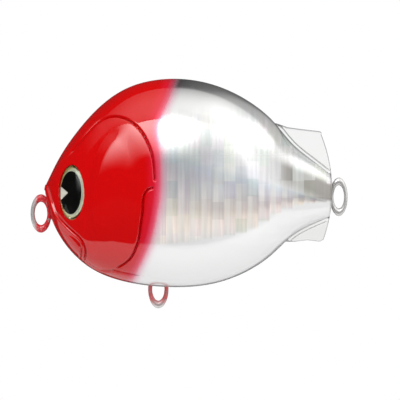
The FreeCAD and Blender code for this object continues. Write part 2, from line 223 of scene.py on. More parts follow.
THROAT_LINE = [(6.9, -7.4), (8.2, -8.45), (9.7, -8.95), (11.3, -8.85)]
THROAT_BACK = [(11.2, -8.8), (12.8, -9.2), (14.8, -9.6), (17.0, -9.95)]
RELIEF_FACING = (0.12, 0.38)  # the relief fades out where the surface turns edge-on from the side
SEAM_DEPTH = 0.05  # the shallow groove where the halves meet
SEAM_WIDTH = 0.22


def distance_to(line_points, x, z):
    """Signed distance from a smooth line, positive on its left as it runs, and the share along it."""
    line, reach = smooth_line(line_points, LINE_SAMPLES)
    best = np.full(x.shape, FAR)
    sign, share = np.zeros(x.shape), np.zeros(x.shape)
    for p, q, done in zip(line, line[1:], reach):
        run = q - p
        size = math.hypot(*run)
        t = np.clip(((x - p[0]) * run[0] + (z - p[1]) * run[1]) / size**2, 0, 1)
        dx, dz = x - p[0] - t * run[0], z - p[1] - t * run[1]
        gap = np.hypot(dx, dz)
        near = gap < best
        best = np.where(near, gap, best)
        sign = np.where(near, np.sign(run[0] * dz - run[1] * dx), sign)
        share = np.where(near, (done + t * size) / reach[-1], share)
    return best * sign, share


def taper(share, start, end):
    """A weight that fades in over the line's first part and out over its last."""
    return smooth_step(0, start, share) * smooth_step(0, end, 1 - share)


def groove(x, z, line, depth, width, start=0.08, end=0.08):
    """A rounded channel along the line."""
    gap, share = distance_to(line, x, z)
    return -depth * np.exp(-((gap / width) ** 2)) * taper(share, start, end)


def ledge(x, z, line, height, rise, fade, side, start, end):
    """The surface stands up on one side of the line and falls away again behind it."""
    gap, share = distance_to(line, x, z)
    inside = gap * side
    step = smooth_step(-rise / 2, rise, inside) * smooth_step(fade, 0, inside)
    return height * step * taper(share, start, end)


def head_relief(x, z):
    """How far the head's surface stands out of the plain form, in millimetres."""
    relief = groove(x, z, GILL_EDGE, 0.50, 0.15, 0.12, 0.02)
    relief += groove(x, z, GILL_NOTCH, 0.50, 0.15, 0.02, 0.10)
    relief += ledge(x, z, GILL_EDGE, 0.24, 0.30, 3.6, -1, 0.62, 0.20)
    relief += ledge(x, z, GILL_NOTCH, 0.22, 0.30, 3.6, -1, 0.30, 0.30)
    relief += groove(x, z, CHEEK_EDGE, 0.10, 0.90, 0.30, 0.25)
    relief += ledge(x, z, CHEEK_EDGE, 0.24, 1.6, 5.0, 1, 0.42, 0.30)
    relief += groove(x, z, BROW_LINE, 0.20, 0.20, 0.05, 0.12)
    relief += ledge(x, z, BROW_LINE, 0.12, 0.25, 2.6, -1, 0.05, 0.15)
    relief += groove(x, z, LIP_LINE, 0.38, 0.15, 0.03, 0.06)
    relief += ledge(x, z, LIP_LINE, 0.09, 0.22, 0.8, -1, 0.05, 0.10)
    relief += groove(x, z, JAW_LINE, 0.28, 0.14, 0.55, 0.10)
    relief += ledge(x, z, JAW_LINE, 0.05, 0.2, 1.2, -1, 0.60, 0.15)
    relief += groove(x, z, THROAT_LINE, 0.30, 0.16)
    relief += groove(x, z, THROAT_BACK, 0.32, 0.15, 0.02, 0.35)
    return relief


# ---- eyes


class EyeFrame:
    """Place and directions of an eye, read from the CAD's foil disc."""

    def __init__(self, word):
        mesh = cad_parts[f"eye_foil_{word}"].data
        points = np.array([v.co for v in mesh.vertices]) / MM
        low, high = points.min(0), points.max(0)
        centre = (low + high) / 2
        _, _, axes = np.linalg.svd(points - centre, full_matrices=False)
        self.up, self.forward, self.out = axes
        self.up = self.up * np.sign(self.up[2])
        self.forward = self.forward * -np.sign(self.forward[0])
        self.out = self.out * np.sign(self.out[1]) * SIDES[word]
        spread = [(points - centre) @ axis for axis in (self.forward, self.up, self.out)]
        self.half_length, self.half_height = spread[0].max(), spread[1].max()
        self.thickness = spread[2].max() - spread[2].min()
        self.seat = centre + self.out * spread[2].min()   # the middle of the disc's back

    def local(self, points):
        """Forward, up and out coordinates, in the eye's own millimetres, from the seat's middle."""
        offset = points - self.seat
        return [offset @ axis for axis in (self.forward, self.up, self.out)]

    def place(self, forward, up, out):
        return self.seat + forward * self.forward + up * self.up + out * self.out


EYE_RECESS = 0.95
SOCKET_SHARE = 0.965  # the socket in the skin, as a share of the lens
SOCKET_REACH = 4.0  # the socket leaves points further out than this alone
SOCKET_GAP = 0.02  # between the socket's floor and the foil's back
LENS_RISE = 0.45
LENS_GAP = 0.04  # the least height of the lens's top over the iris
PUPIL_HALF_LENGTH = 1.75
PUPIL_HALF_HEIGHT = 3.26
PUPIL_THICKNESS = 0.08
PUPIL_GAP = 0.01  # between the pupil and the lens's back
LENS_EDGE_GAP = 0.2  # the share of that space left past the iris's flat
PUPIL_FORWARD = 0.35
NOTCH_HALF_ANGLE = 38.0
NOTCH_TIP = 0.35
NOTCH_PRINT_ANGLE = 3.0  # how much wider the pale print is than the notch
NOTCH_PRINT_TIP = 0.3  # and how much further its tip reaches
IRIS_RIM = 0.34  # how far the iris's outer bevel stands above its flat
IRIS_FLAT = 0.80  # the flat's share of the iris
IRIS_BEVEL_END = 0.97
EYE_SPOKES = 96
EYE_SMOOTH_ANGLE = 50.0
EYE_RINGS = [k / 24 for k in range(1, 24)] + [0.975, 0.99, 0.997]

eyes = {word: EyeFrame(word) for word in SIDES}


def sink_eye_socket(points, word):
    """Presses the skin in to the eye's seat."""
    eye = eyes[word]
    forward, up, out = eye.local(points)
    span = np.hypot(forward / eye.half_length, up / eye.half_height) / SOCKET_SHARE
    inside = (span < 1) & (np.abs(out) < SOCKET_REACH)
    depth = np.where(inside, np.minimum(out, -SOCKET_GAP) - out, 0)
    return points + depth[..., None] * eye.out


def press_cup(points):
    """Presses the popping cup into the face, with a soft rim."""
    axis = np.array(CUP_AXIS) / math.hypot(*CUP_AXIS)
    along = np.array([-axis[1], axis[0]])
    x, z = points[..., 0] - CUP_CENTRE[0], points[..., 2] - CUP_CENTRE[1]
    height = (x * along[0] + z * along[1]) / CUP_HALF_HEIGHT
    span = np.hypot(height, points[..., 1] / CUP_HALF_WIDTH)
    near = np.abs(x * axis[0] + z * axis[1]) < CUP_REACH
    depth = np.where(near, CUP_DEPTH * np.sqrt(np.clip(1 - span**2, 0, 1)), 0)
    pressed = points.copy()
    pressed[..., 0] -= axis[0] * depth
    pressed[..., 2] -= axis[1] * depth
    return pressed


# ---- the two skins

HEAD_SHARE = 0.52  # the head's share of the length, where the mesh is finest
HEAD_ROWS = 400
BODY_ROWS = 80
COLUMNS = 400
CAVITY_COLUMNS = 36
CAVITY_ROW_STEP = 2  # the hollow has one row for every two of the skin's
NOSE_RINGS = 5
NOSE_RADIUS = 0.10
NOSE_OUT = (-1.0, 0.0, 0.1)
TAIL_RINGS = 4
TAIL_RADIUS = 0.22
TAIL_OUT = (1.0, 0.0, 0.0)
CAP_SHRINK = 0.85  # the most that a ring of an end's rounding shrinks towards the middle
SKIN_SMOOTH_ANGLE = 40.0


def keep_to_side(points, side):
    """Keeps rows of points on their side of the middle plane, with their two ends on it."""
    points[..., 0, 1] = points[..., -1, 1] = side * SEAM_GAP
    points[..., 1] = side * np.maximum(side * points[..., 1], SEAM_GAP)


def fit_to_tail_arc(plain, shares):
    """Draws the tail's end of each column in or out so that it stops on the tail's arc."""
    radius = np.hypot(plain[..., 0] - TAIL_ARC_CENTRE[0], plain[..., 2] - TAIL_ARC_CENTRE[1])
    past_arc = (radius > TAIL_ARC_RADIUS) & (plain[..., 0] > TAIL_FROM_X)
    for j in range(plain.shape[1]):
        first = np.nonzero(past_arc[:, j])[0][0]
        f = (TAIL_ARC_RADIUS - radius[first - 1, j]) / (radius[first, j] - radius[first - 1, j])
        end = shares[first - 1] + f * (shares[first] - shares[first - 1])
        fitted = TAIL_SHARE + (shares - TAIL_SHARE) * (end - TAIL_SHARE) / (1 - TAIL_SHARE)
        wanted = np.where(shares < TAIL_SHARE, shares, fitted)
        column = plain[:, j].copy()
        for k in range(3):
            plain[:, j, k] = np.interp(wanted, shares, column[:, k])


def skin_grid(word):
    """The outer surface of one half: rows from nose to tail, columns from back to belly."""
    side = SIDES[word]
    shares = np.concatenate(
        [np.linspace(0, HEAD_SHARE, HEAD_ROWS, endpoint=False), np.linspace(HEAD_SHARE, 1, BODY_ROWS)]
    )
    plain = section_points(shares, COLUMNS, side)
    fit_to_tail_arc(plain, shares)
    normals = grid_normals(plain, side)
    relief = head_relief(plain[..., 0], plain[..., 2])
    facing = smooth_step(*RELIEF_FACING, np.abs(normals[..., 1]))
    seam = -SEAM_DEPTH * np.exp(-((plain[..., 1] / SEAM_WIDTH) ** 2))
    grid = plain + normals * (relief * facing + seam)[..., None]
    grid = sink_eye_socket(press_cup(grid), word)
    keep_to_side(grid, side)
    return grid, shares


def cap_rings(edge, way_out, radius, rings):
    """Rings that round an open end off: each is nearer the end's middle and further out."""
    outward = np.array(way_out) / np.linalg.norm(way_out)
    offset = edge - (edge[0] + edge[-1]) / 2
    size = np.maximum(np.linalg.norm(offset, axis=1, keepdims=True), 1e-6)
    made = []
    for n in range(1, rings + 1):
        angle = math.pi / 2 * n / rings
        shrink = np.minimum(radius * (1 - math.cos(angle)) / size, CAP_SHRINK)
        made.append(edge - offset * shrink + outward * radius * math.sin(angle))
    return made


def capped_grid(grid, side):
    """The outer surface's rows with those that round its ends off, which stay inside the tail's arc."""
    nose = cap_rings(grid[0], NOSE_OUT, NOSE_RADIUS, NOSE_RINGS)
    tail = cap_rings(grid[-1], TAIL_OUT, TAIL_RADIUS, TAIL_RINGS)
    for ring in nose + tail:
        keep_to_side(ring, side)
    past_arc = tail[-1][:, 0].max() - TAIL_ARC_CENTRE[0] - TAIL_ARC_RADIUS
    for ring in [grid[-1]] + tail:
        ring[:, 0] -= max(past_arc, 0)
    return np.concatenate([nose[::-1], grid, tail])


def middle_faces(total, hollow_rows, hollow_start):
    """Faces that close a half on the middle plane, round its hollow, in the right half's order."""

    def top(row):
        return row * COLUMNS

    def bottom(row):
        return row * COLUMNS + COLUMNS - 1

    def roof(n):
        return hollow_start + n * CAVITY_COLUMNS

    def bed(n):
        return hollow_start + n * CAVITY_COLUMNS + CAVITY_COLUMNS - 1

    rows = [row + NOSE_RINGS for row in hollow_rows]
    finish, end = rows[-1], len(rows) - 1
    faces = [[top(row), bottom(row), bottom(row + 1), top(row + 1)] for row in range(finish + 1, total - 1)]
    brow = [top(row) for row in range(rows[0], -1, -1)]
    chin = [bottom(row) for row in range(rows[0] + 1)]
    faces.append(brow + chin + [bed(0), roof(0)])
    faces.append([top(finish), roof(end), bed(end), bottom(finish), bottom(finish + 1), top(finish + 1)])
    for n, (low, high) in enumerate(zip(rows, rows[1:])):
        faces.append([roof(n), roof(n + 1)] + [top(row) for row in range(high, low - 1, -1)])
        faces.append([bed(n + 1), bed(n)] + [bottom(row) for row in range(low, high + 1)])
    return faces


def build_skin(word):
    side = SIDES[word]
    grid, shares = skin_grid(word)
    whole = capped_grid(grid, side)
    total = len(whole)
    hollow_rows = [i for i, s in enumerate(shares) if CAVITY[0] <= s <= CAVITY[1]][::CAVITY_ROW_STEP]
    hollow = section_points(shares[hollow_rows], CAVITY_COLUMNS, side, WALL)
    keep_to_side(hollow, side)
    hollow_start = total * COLUMNS
    hollow_end = len(hollow_rows) - 1

    # every face is listed as the right half has it, and the left half's are turned round
    faces = grid_faces(0, total, COLUMNS, True)
    faces.append(row_indices(0, 0, COLUMNS))
    faces.append(row_indices(0, total - 1, COLUMNS)[::-1])
    faces += grid_faces(hollow_start, len(hollow_rows), CAVITY_COLUMNS, False)
    faces.append(row_indices(hollow_start, 0, CAVITY_COLUMNS)[::-1])
    faces.append(row_indices(hollow_start, hollow_end, CAVITY_COLUMNS))
    faces += middle_faces(total, hollow_rows, hollow_start)
    if side == LEFT:
        faces = [face[::-1] for face in faces]
    vertices = np.concatenate([whole.reshape(-1, 3), hollow.reshape(-1, 3)])
    skin = mesh_object(f"skin_{word}", vertices, faces, SKIN_SMOOTH_ANGLE)
    skin.data.materials.append(paint)
    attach(skin, "lure")
    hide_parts(f"body_shell_{word}")


# ---- material tools


def set_stops(ramp, stops):
    """Gives a colour ramp node its (place, colour) stops."""
    points = ramp.color_ramp.elements
    while len(points) < len(stops):
        points.new(0.5)
    for point, (place, colour) in zip(points, stops):
        point.position = place
        point.color = (*colour, 1)


class Material:
    """A node material, with short ways to add the nodes used here."""

    def __init__(self, name):
        self.made = bpy.data.materials.new(name)
        self.made.use_nodes = True
        self.tree = self.made.node_tree
        self.shader = self.tree.nodes["Principled BSDF"]

    def node(self, kind, inputs=(), **settings):
        node = self.tree.nodes.new(kind)
        for key, value in settings.items():
            setattr(node, key, value)
        for key, value in dict(inputs).items():
            self.join(value, node.inputs[key])
        return node

    def join(self, value, socket):
        if isinstance(value, bpy.types.NodeSocket):
            self.tree.links.new(value, socket)
        else:
            socket.default_value = value

    def math(self, operation, *values):
        node = self.node("ShaderNodeMath", operation=operation)
        for value, socket in zip(values, node.inputs):
            self.join(value, socket)
        return node.outputs[0]

    def vector(self, operation, first, second):
        return self.node("ShaderNodeVectorMath", {0: first, 1: second}, operation=operation).outputs[0]

    def point(self):
        """The point in millimetres."""
        coordinates = self.node("ShaderNodeTexCoord").outputs["Object"]
        return self.vector("MULTIPLY", coordinates, (1000, 1000, 1000))

    def axes(self, point):
        return self.node("ShaderNodeSeparateXYZ", {0: point}).outputs

    def line(self, value, low, high, start, end, kind="LINEAR"):
        """The value carried from one range to another, and held at its ends."""
        node = self.node(
            "ShaderNodeMapRange",
            {"Value": value, "From Min": low, "From Max": high, "To Min": start, "To Max": end},
            interpolation_type=kind,
        )
        return node.outputs[0]

    def step(self, value, low, high, start=0.0, end=1.0):
        return self.line(value, low, high, start, end, "SMOOTHSTEP")

    def mix(self, share, first, second, blend="MIX"):
        node = self.node("ShaderNodeMix", data_type="RGBA", blend_type=blend)
        for value, socket in zip((share, first, second), (node.inputs[0], node.inputs[6], node.inputs[7])):
            self.join(value, socket)
        return node.outputs[2]

    def ramp(self, value, stops):
        node = self.node("ShaderNodeValToRGB", {0: value})
        set_stops(node, stops)
        return node.outputs[0]

    def curve(self, value, points, in_range, out_range):
        """A smooth curve through (value, result) points."""
        share = self.line(value, *in_range, 0, 1)
        node = self.node("ShaderNodeFloatCurve", {"Value": share})
        knots = node.mapping.curves[0].points
        scaled = [((a - in_range[0]) / (in_range[1] - in_range[0]),
                   (b - out_range[0]) / (out_range[1] - out_range[0])) for a, b in points]
        knots[0].location, knots[1].location = scaled[0], scaled[-1]
        for place in scaled[1:-1]:
            knots.new(*place)
        node.mapping.update()
        return self.line(node.outputs[0], 0, 1, *out_range)

    def noise(self, vector, scale, detail):
        node = self.node("ShaderNodeTexNoise", {"Vector": vector, "Scale": scale, "Detail": detail})
        return node.outputs[0]

    def bump(self, height, distance, strength):
        node = self.node("ShaderNodeBump", {"Height": height, "Distance": distance, "Strength": strength})
        return node.outputs[0]

    def surface(self, **sockets):
        for name, value in sockets.items():
            self.join(value, self.shader.inputs[name.replace("_", " ")])
        return self.made


# ---- the paint

HEIGHTS = (-12, 22)  # the heights and lengths that the curves below span
PAINT_LENGTHS = (13, 22)
PAINT_EDGE = [  # the red's rear edge: its place along the lure at each height
    (-11.5, 13.6), (-8.8, 14.9), (-7.25, 15.7), (-5.7, 16.4), (-4.1, 17.0), (-1.0, 17.8), (3.7, 18.5),
    (8.4, 18.5), (13.0, 18.1), (14.6, 18.5), (17.7, 19.8), (19.3, 20.4), (21.5, 21.2),
]
FOIL_LENGTHS = (12, 46)
FOIL_HEIGHTS = (-6, 3)
FOIL_LOW = [  # the foil's lower edge along the lure
    (13.0, -4.9), (20.1, -4.65), (25.2, -4.0), (29.5, -3.3), (32.4, -2.6), (34.2, -1.5),
    (36.9, 0.1), (39.9, 1.2), (46.0, 2.0),
]
FOIL_HIGH = (17.1, -0.344)  # the height of the foil's grey part: at x = 0, and its slope along the lure
FLANK_METAL = [  # how metallic the bare flank is at each height
    (-12, 0.55), (-6, 0.42), (-3, 0.15), (1, 0.12), (4, 0.26), (7, 0.45), (10, 0.8), (13, 0.95), (22, 1.0),
]
STRIP_PITCH = 1.78
STRIP_HEIGHT = 2.7
RED = (0.57, 0.0015, 0.002)


def foil_cells(m, x, z):
    """Columns and cells of the foil, with noise that changes from cell to cell."""
    columns = m.math("DIVIDE", x, STRIP_PITCH)
    column, across = m.math("FLOOR", columns), m.math("FRACT", columns)
    shift = m.node("ShaderNodeTexWhiteNoise", {"W": column}, noise_dimensions="1D").outputs[0]
    rows = m.math("ADD", m.math("DIVIDE", z, STRIP_HEIGHT), m.math("MULTIPLY", shift, 0.35))
    cell = m.node("ShaderNodeCombineXYZ", {0: column, 1: m.math("FLOOR", rows)}).outputs[0]
    noise = m.node("ShaderNodeTexWhiteNoise", {"Vector": cell}, noise_dimensions="3D").outputs
    return column, across, noise["Value"], noise["Color"]


def foil_colour(m, point, x, z, foil_low, across, cell, cell_colour):
    """The foil's tones from its lower edge up, its pale bars, its fine streaks and the painted shade by the
    tail.
    """
    foil_high = m.math("MULTIPLY_ADD", m.math("MAXIMUM", x, 21.0), FOIL_HIGH[1], FOIL_HIGH[0])
    foil_rise = m.math("DIVIDE", m.math("SUBTRACT", z, foil_low), m.math("SUBTRACT", foil_high, foil_low))
    tone = m.ramp(m.math("MULTIPLY", foil_rise, 0.5), [
        (0.0, (0.86, 0.84, 0.81)), (0.08, (0.88, 0.80, 0.74)), (0.14, (0.78, 0.71, 0.65)),
        (0.19, (0.62, 0.56, 0.53)), (0.26, (0.56, 0.53, 0.53)), (0.38, (0.54, 0.55, 0.58)),
        (0.44, (0.58, 0.63, 0.67)), (0.50, (0.76, 0.78, 0.79)), (0.62, (0.84, 0.85, 0.83)),
    ])
    tint = m.mix(0.05, (0.72, 0.72, 0.72, 1), cell_colour)
    strips = m.mix(1.0, tone, m.mix(1.0, tint, (1.42, 1.42, 1.42, 1), "MULTIPLY"), "MULTIPLY")

    fine = m.noise(m.vector("MULTIPLY", point, (2.2, 0.0, 0.12)), 1.0, 2.0)
    streak = m.math("MULTIPLY", m.step(fine, 0.35, 0.65, 0.92, 1.06), m.line(cell, 0, 1, 0.90, 1.08))
    grey_streak = m.node("ShaderNodeCombineXYZ", {0: streak, 1: streak, 2: streak}).outputs[0]
    strips = m.mix(1.0, strips, grey_streak, "MULTIPLY")

    bar = m.math("MULTIPLY", m.step(across, 0.0, 0.16), m.step(across, 0.60, 0.44))
    bar = m.math("MULTIPLY", bar, m.line(cell, 0, 1, 0.3, 1.4))
    bar_share = m.math("MULTIPLY", bar, m.step(z, 6.5, 2.5, 0.16, 0.48))
    strips = m.mix(bar_share, strips, (0.80, 0.79, 0.75, 1))

    # painted shade: darker cells along the tail's axis stand in for the dark reflection seen there
    above_axis = m.math("SUBTRACT", z, m.math("MULTIPLY_ADD", x, -0.42, 22.2))
    near_axis = m.math("MULTIPLY", m.step(above_axis, -3.6, -0.6), m.step(above_axis, 2.6, 0.8))
    near_tail = m.math("MULTIPLY", m.step(x, 33.0, 40.0), near_axis)
    painted_tail_shade = m.math("MULTIPLY", near_tail, m.line(cell, 0, 1, 0.35, 1.0))
    return m.mix(painted_tail_shade, strips, (0.15, 0.135, 0.11, 1))


def build_paint():
    """Red over the head with a soft pink edge, and bare silver with foil strips behind it."""
    m = Material("paint")
    point = m.point()
    x, _, z = m.axes(point)
    edge_x = m.curve(z, PAINT_EDGE, HEIGHTS, PAINT_LENGTHS)
    spray = m.math("MULTIPLY_ADD", m.noise(point, 6.0, 4.0), 0.5, -0.25)
    past = m.math("ADD", m.math("SUBTRACT", x, edge_x), spray)

    column, across, cell, cell_colour = foil_cells(m, x, z)
    column_middle = m.math("MULTIPLY", m.math("ADD", column, 0.5), STRIP_PITCH)
    foil_low = m.curve(column_middle, FOIL_LOW, FOIL_LENGTHS, FOIL_HEIGHTS)
    foil_part = m.step(m.math("SUBTRACT", z, foil_low), -0.25, 0.35)
    foil_part = m.math("MULTIPLY", foil_part, m.step(z, 17.5, 13.5))
    strips = foil_colour(m, point, x, z, foil_low, across, cell, cell_colour)
    pearl = m.ramp(m.line(z, *HEIGHTS, 0, 1), [
        (0.0, (0.96, 0.96, 0.96)), (0.25, (0.92, 0.92, 0.92)),
        (0.6, (0.80, 0.80, 0.79)), (1.0, (0.85, 0.85, 0.84)),
    ])
    silver = m.mix(foil_part, pearl, strips)
    # painted shade: a dark band at the body's rear end stands in for the dark reflection on its rounded end
    silver = m.mix(m.step(x, 44.8, 45.35, 0.0, 0.6), silver, (0.20, 0.19, 0.18, 1))

    fringe = m.ramp(m.line(past, -3.0, 3.0, 0, 1), [
        (0.10, RED), (0.36, (0.62, 0.008, 0.025)), (0.50, (0.74, 0.08, 0.15)),
        (0.62, (0.81, 0.36, 0.48)), (0.80, (0.84, 0.62, 0.72)), (1.0, (0.85, 0.78, 0.83)),
    ])
    colour = m.mix(m.step(past, 2.1, -0.3), silver, fringe)
    colour = m.mix(m.step(past, -1.2, -2.8), colour, (*RED, 1))
    opaque = m.step(past, 1.0, -1.4)

    # each cell of the foil leans its own way
    lean = m.vector("SUBTRACT", cell_colour, (0.5, 0.5, 0.5))
    tilt = m.math("MULTIPLY", foil_part, m.step(z, 10.0, 5.0, 0.015, 0.07))
    lean = m.node("ShaderNodeVectorMath", {0: lean, "Scale": tilt}, operation="SCALE").outputs[0]
    leaned = m.vector("ADD", m.node("ShaderNodeNewGeometry").outputs["Normal"], lean)
    leaned = m.node("ShaderNodeVectorMath", {0: leaned}, operation="NORMALIZE").outputs[0]
    bare = m.math("SUBTRACT", 1.0, opaque)
    return m.surface(
        Base_Color=colour,
        Metallic=m.math("MULTIPLY", bare, m.curve(z, FLANK_METAL, HEIGHTS, (0, 1))),
        Roughness=m.math("MULTIPLY_ADD", opaque, 0.20, 0.20),
        Normal=leaned,
        Specular_IOR_Level=0.0,
        Coat_Weight=1.0,
        Coat_Roughness=0.02,
        Coat_IOR=1.7,
    )


# ---- other materials


def build_wire():
    """Bright wire, with red overspray on the nose's loop and on most of the belly's."""
    m = Material("wire")
    point = m.point()
    x, _, z = m.axes(point)
    drawn = m.noise(point, 3.0, 3.0)
    front = m.step(x, -1.15, -0.45)
    near_nose = m.step(x, 8.0, 6.0)
    below = m.step(z, -8.0, -9.5)
    belly_loop = m.math("MULTIPLY", m.math("MULTIPLY", below, m.step(z, -14.6, -13.2)), 0.85)
    overspray = m.math("MAXIMUM", m.math("MULTIPLY", front, near_nose), belly_loop)
    overspray = m.math("MULTIPLY", overspray, m.step(drawn, 0.25, 0.45))
    steel = m.mix(drawn, (0.62, 0.61, 0.60, 1), (0.78, 0.77, 0.76, 1))
    return m.surface(
        Base_Color=m.mix(overspray, steel, (0.62, 0.02, 0.03, 1)),
        Metallic=m.math("MULTIPLY_ADD", overspray, -0.55, 0.55),
        Roughness=m.math("MULTIPLY_ADD", drawn, 0.12, 0.18),
        Normal=m.bump(drawn, 0.00002, 0.3),
        Coat_Weight=0.3,
        Coat_Roughness=0.05,
    )


def build_fin_clear(name, dark, light):
    """Clear plastic, a little greyer in the lower tip."""
    m = Material(name)
    point = m.point()
    _, _, z = m.axes(point)
    flow = m.noise(point, 0.35, 2.0)
    colour = m.mix(flow, (*dark, 1), (*light, 1))
    greyer = m.mix(1.0, colour, (0.91, 0.91, 0.90, 1), "MULTIPLY")
    return m.surface(
        Base_Color=m.mix(m.step(z, 0.0, -2.5), colour, greyer),
        Roughness=m.math("MULTIPLY_ADD", flow, 0.03, 0.01),
        Normal=m.bump(flow, 0.0001, 0.15),
        Transmission_Weight=1.0,
        IOR=1.49,
    )


def build_iris(word):
    """Foil with a pale band round the pupil, an olive one outside it and a dark gold edge."""
    m = Material(f"iris_foil_{word}")
    eye = eyes[word]
    point = m.point()
    grain = m.noise(point, 9.0, 3.0)
    offset = m.vector("SUBTRACT", point, tuple(eye.seat))

    def along(direction, half):
        dot = m.node("ShaderNodeVectorMath", {0: offset, 1: tuple(direction)}, operation="DOT_PRODUCT")
        return m.math("DIVIDE", dot.outputs["Value"], half)

    forward, up = along(eye.forward, eye.half_length), along(eye.up, eye.half_height)
    share = m.math("SQRT", m.math("ADD", m.math("MULTIPLY", forward, forward), m.math("MULTIPLY", up, up)))
    bands = m.ramp(m.math("MULTIPLY_ADD", grain, 0.03, share), [
        (0.70, (0.52, 0.55, 0.42)), (0.80, (0.66, 0.68, 0.50)), (0.86, (0.50, 0.45, 0.20)),
        (0.91, (0.36, 0.29, 0.08)), (0.96, (0.26, 0.19, 0.04)), (0.985, (0.05, 0.03, 0.01)),
    ])
    rear = m.step(forward, 0.1, -0.8)
    colour = m.mix(m.math("MULTIPLY", rear, 0.35), bands, m.mix(1.0, bands, (1.5, 1.5, 1.5, 1), "MULTIPLY"))
    return m.surface(
        Base_Color=colour,
        Metallic=0.3,
        Roughness=m.math("MULTIPLY_ADD", grain, 0.15, 0.30),
        Normal=m.bump(grain, 0.00002, 0.3),
    )


def build_print(name, dark, light, roughness, specular=0.5):
    m = Material(name)
    grain = m.noise(m.point(), 12.0, 2.0)
    return m.surface(
        Base_Color=m.mix(grain, (*dark, 1), (*light, 1)),
        Roughness=m.math("MULTIPLY_ADD", grain, 0.05, roughness),
        Specular_IOR_Level=specular,
    )


def build_lens():
    m = Material("lens_clear")
    flow = m.noise(m.point(), 0.8, 1.0)
    return m.surface(
        Base_Color=m.mix(flow, (0.98, 0.985, 0.98, 1), (1.0, 1.0, 1.0, 1)),
        Roughness=m.math("MULTIPLY", flow, 0.02),
        Transmission_Weight=1.0,
        IOR=1.45,
    )


def build_metal(name, dark, light, roughness):
    m = Material(name)
    wear = m.noise(m.point(), 4.0, 3.0)
    return m.surface(
        Base_Color=m.mix(wear, (*dark, 1), (*light, 1)),
        Metallic=1.0,
        Roughness=m.math("MULTIPLY_ADD", wear, 0.12, roughness),
    )


def build_moulded(name, dark, light, roughness, clear=0.0):
    m = Material(name)
    grain = m.noise(m.point(), 5.0, 3.0)
    return m.surface(
        Base_Color=m.mix(grain, (*dark, 1), (*light, 1)),
        Roughness=m.math("MULTIPLY_ADD", grain, 0.1, roughness),
        Normal=m.bump(grain, 0.00003, 0.3),
        Transmission_Weight=clear,
    )


# ---- eyes, fin and kept CAD nodes


def radial_grid(height):
    """Points of a closed oval sheet: a centre and rings, as shares of the oval, with a height each."""
    points = [(0.0, 0.0, height(0.0))]
    for share in EYE_RINGS:
        for n in range(EYE_SPOKES):
            turn = 2 * math.pi * n / EYE_SPOKES
            points.append((share * math.cos(turn), share * math.sin(turn), height(share)))
    return points


def closed_disc(name, eye, top, bottom):
    """A solid oval disc in the eye's frame, between two height functions of the share."""
    scale = np.array([eye.half_length, eye.half_height, 1.0])
    upper = np.array(radial_grid(top)) * scale
    lower = np.array(radial_grid(bottom)) * scale
    points = [eye.place(*p) for p in np.concatenate([upper, lower])]
    faces = []
    half, spokes = len(upper), EYE_SPOKES
    last = 1 + (len(EYE_RINGS) - 1) * spokes
    for n in range(spokes):
        after = (n + 1) % spokes
        faces.append((0, 1 + n, 1 + after))
        faces.append((half, half + 1 + after, half + 1 + n))
        for k in range(len(EYE_RINGS) - 1):
            a, b = 1 + k * spokes + n, 1 + k * spokes + after
            faces.append((a, a + spokes, b + spokes, b))
            faces.append((half + a, half + b, half + b + spokes, half + a + spokes))
        faces.append((last + n, half + last + n, half + last + after, last + after))
    made = mesh_object(name, points, faces, EYE_SMOOTH_ANGLE)
    mesh = made.data
    centre = eye.place(0, 0, (top(0.0) + bottom(0.0)) / 2) * MM
    first = mesh.polygons[0]
    if (first.center - Vector(centre)).dot(first.normal) < 0:
        mesh.flip_normals()
    return made


def print_notch(iris, eye):
    """The iris is pale where the pupil's notch shows it."""
    spread = math.tan(math.radians(NOTCH_HALF_ANGLE + NOTCH_PRINT_ANGLE))
    for polygon in iris.data.polygons:
        forward, up, out = eye.local(np.array(polygon.center) / MM)
        ahead = forward - PUPIL_FORWARD
        from_tip = ahead - NOTCH_TIP + NOTCH_PRINT_TIP
        in_wedge = from_tip > 0 and abs(up) < spread * from_tip
        in_pupil = (ahead / PUPIL_HALF_LENGTH) ** 2 + (up / PUPIL_HALF_HEIGHT) ** 2 < 1.0
        polygon.material_index = int(in_wedge and in_pupil and out > eye.thickness / 2)


def build_eye(word):
    eye = eyes[word]
    flat = eye.thickness
    dome_rise = EYE_RECESS + LENS_RISE - flat

    def iris_top(share):
        return flat + IRIS_RIM * float(smooth_step(IRIS_FLAT, IRIS_BEVEL_END, share))

    def lens_top(share):
        dome = flat + dome_rise * math.sqrt(max(1 - share**2, 0))
        return max(dome, iris_top(share) + LENS_GAP)

    def lens_back(share):
        clear_of_pupil = 1 if share < IRIS_FLAT else LENS_EDGE_GAP
        return iris_top(share) + (PUPIL_THICKNESS + PUPIL_GAP) * clear_of_pupil

    iris = closed_disc(f"iris_{word}", eye, iris_top, lambda share: 0.0)
    iris.data.materials.append(build_iris(word))
    iris.data.materials.append(notch_print)
    print_notch(iris, eye)
    lens = closed_disc(f"lens_{word}", eye, lens_top, lens_back)
    lens.data.materials.append(lens_clear)
    lens.visible_shadow = False
    for piece, node, slot in ((iris, "eye_foil", "eye_foil"), (lens, "eye_lens", "lens")):
        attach(piece, "lure")
        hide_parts(f"{node}_{word}")


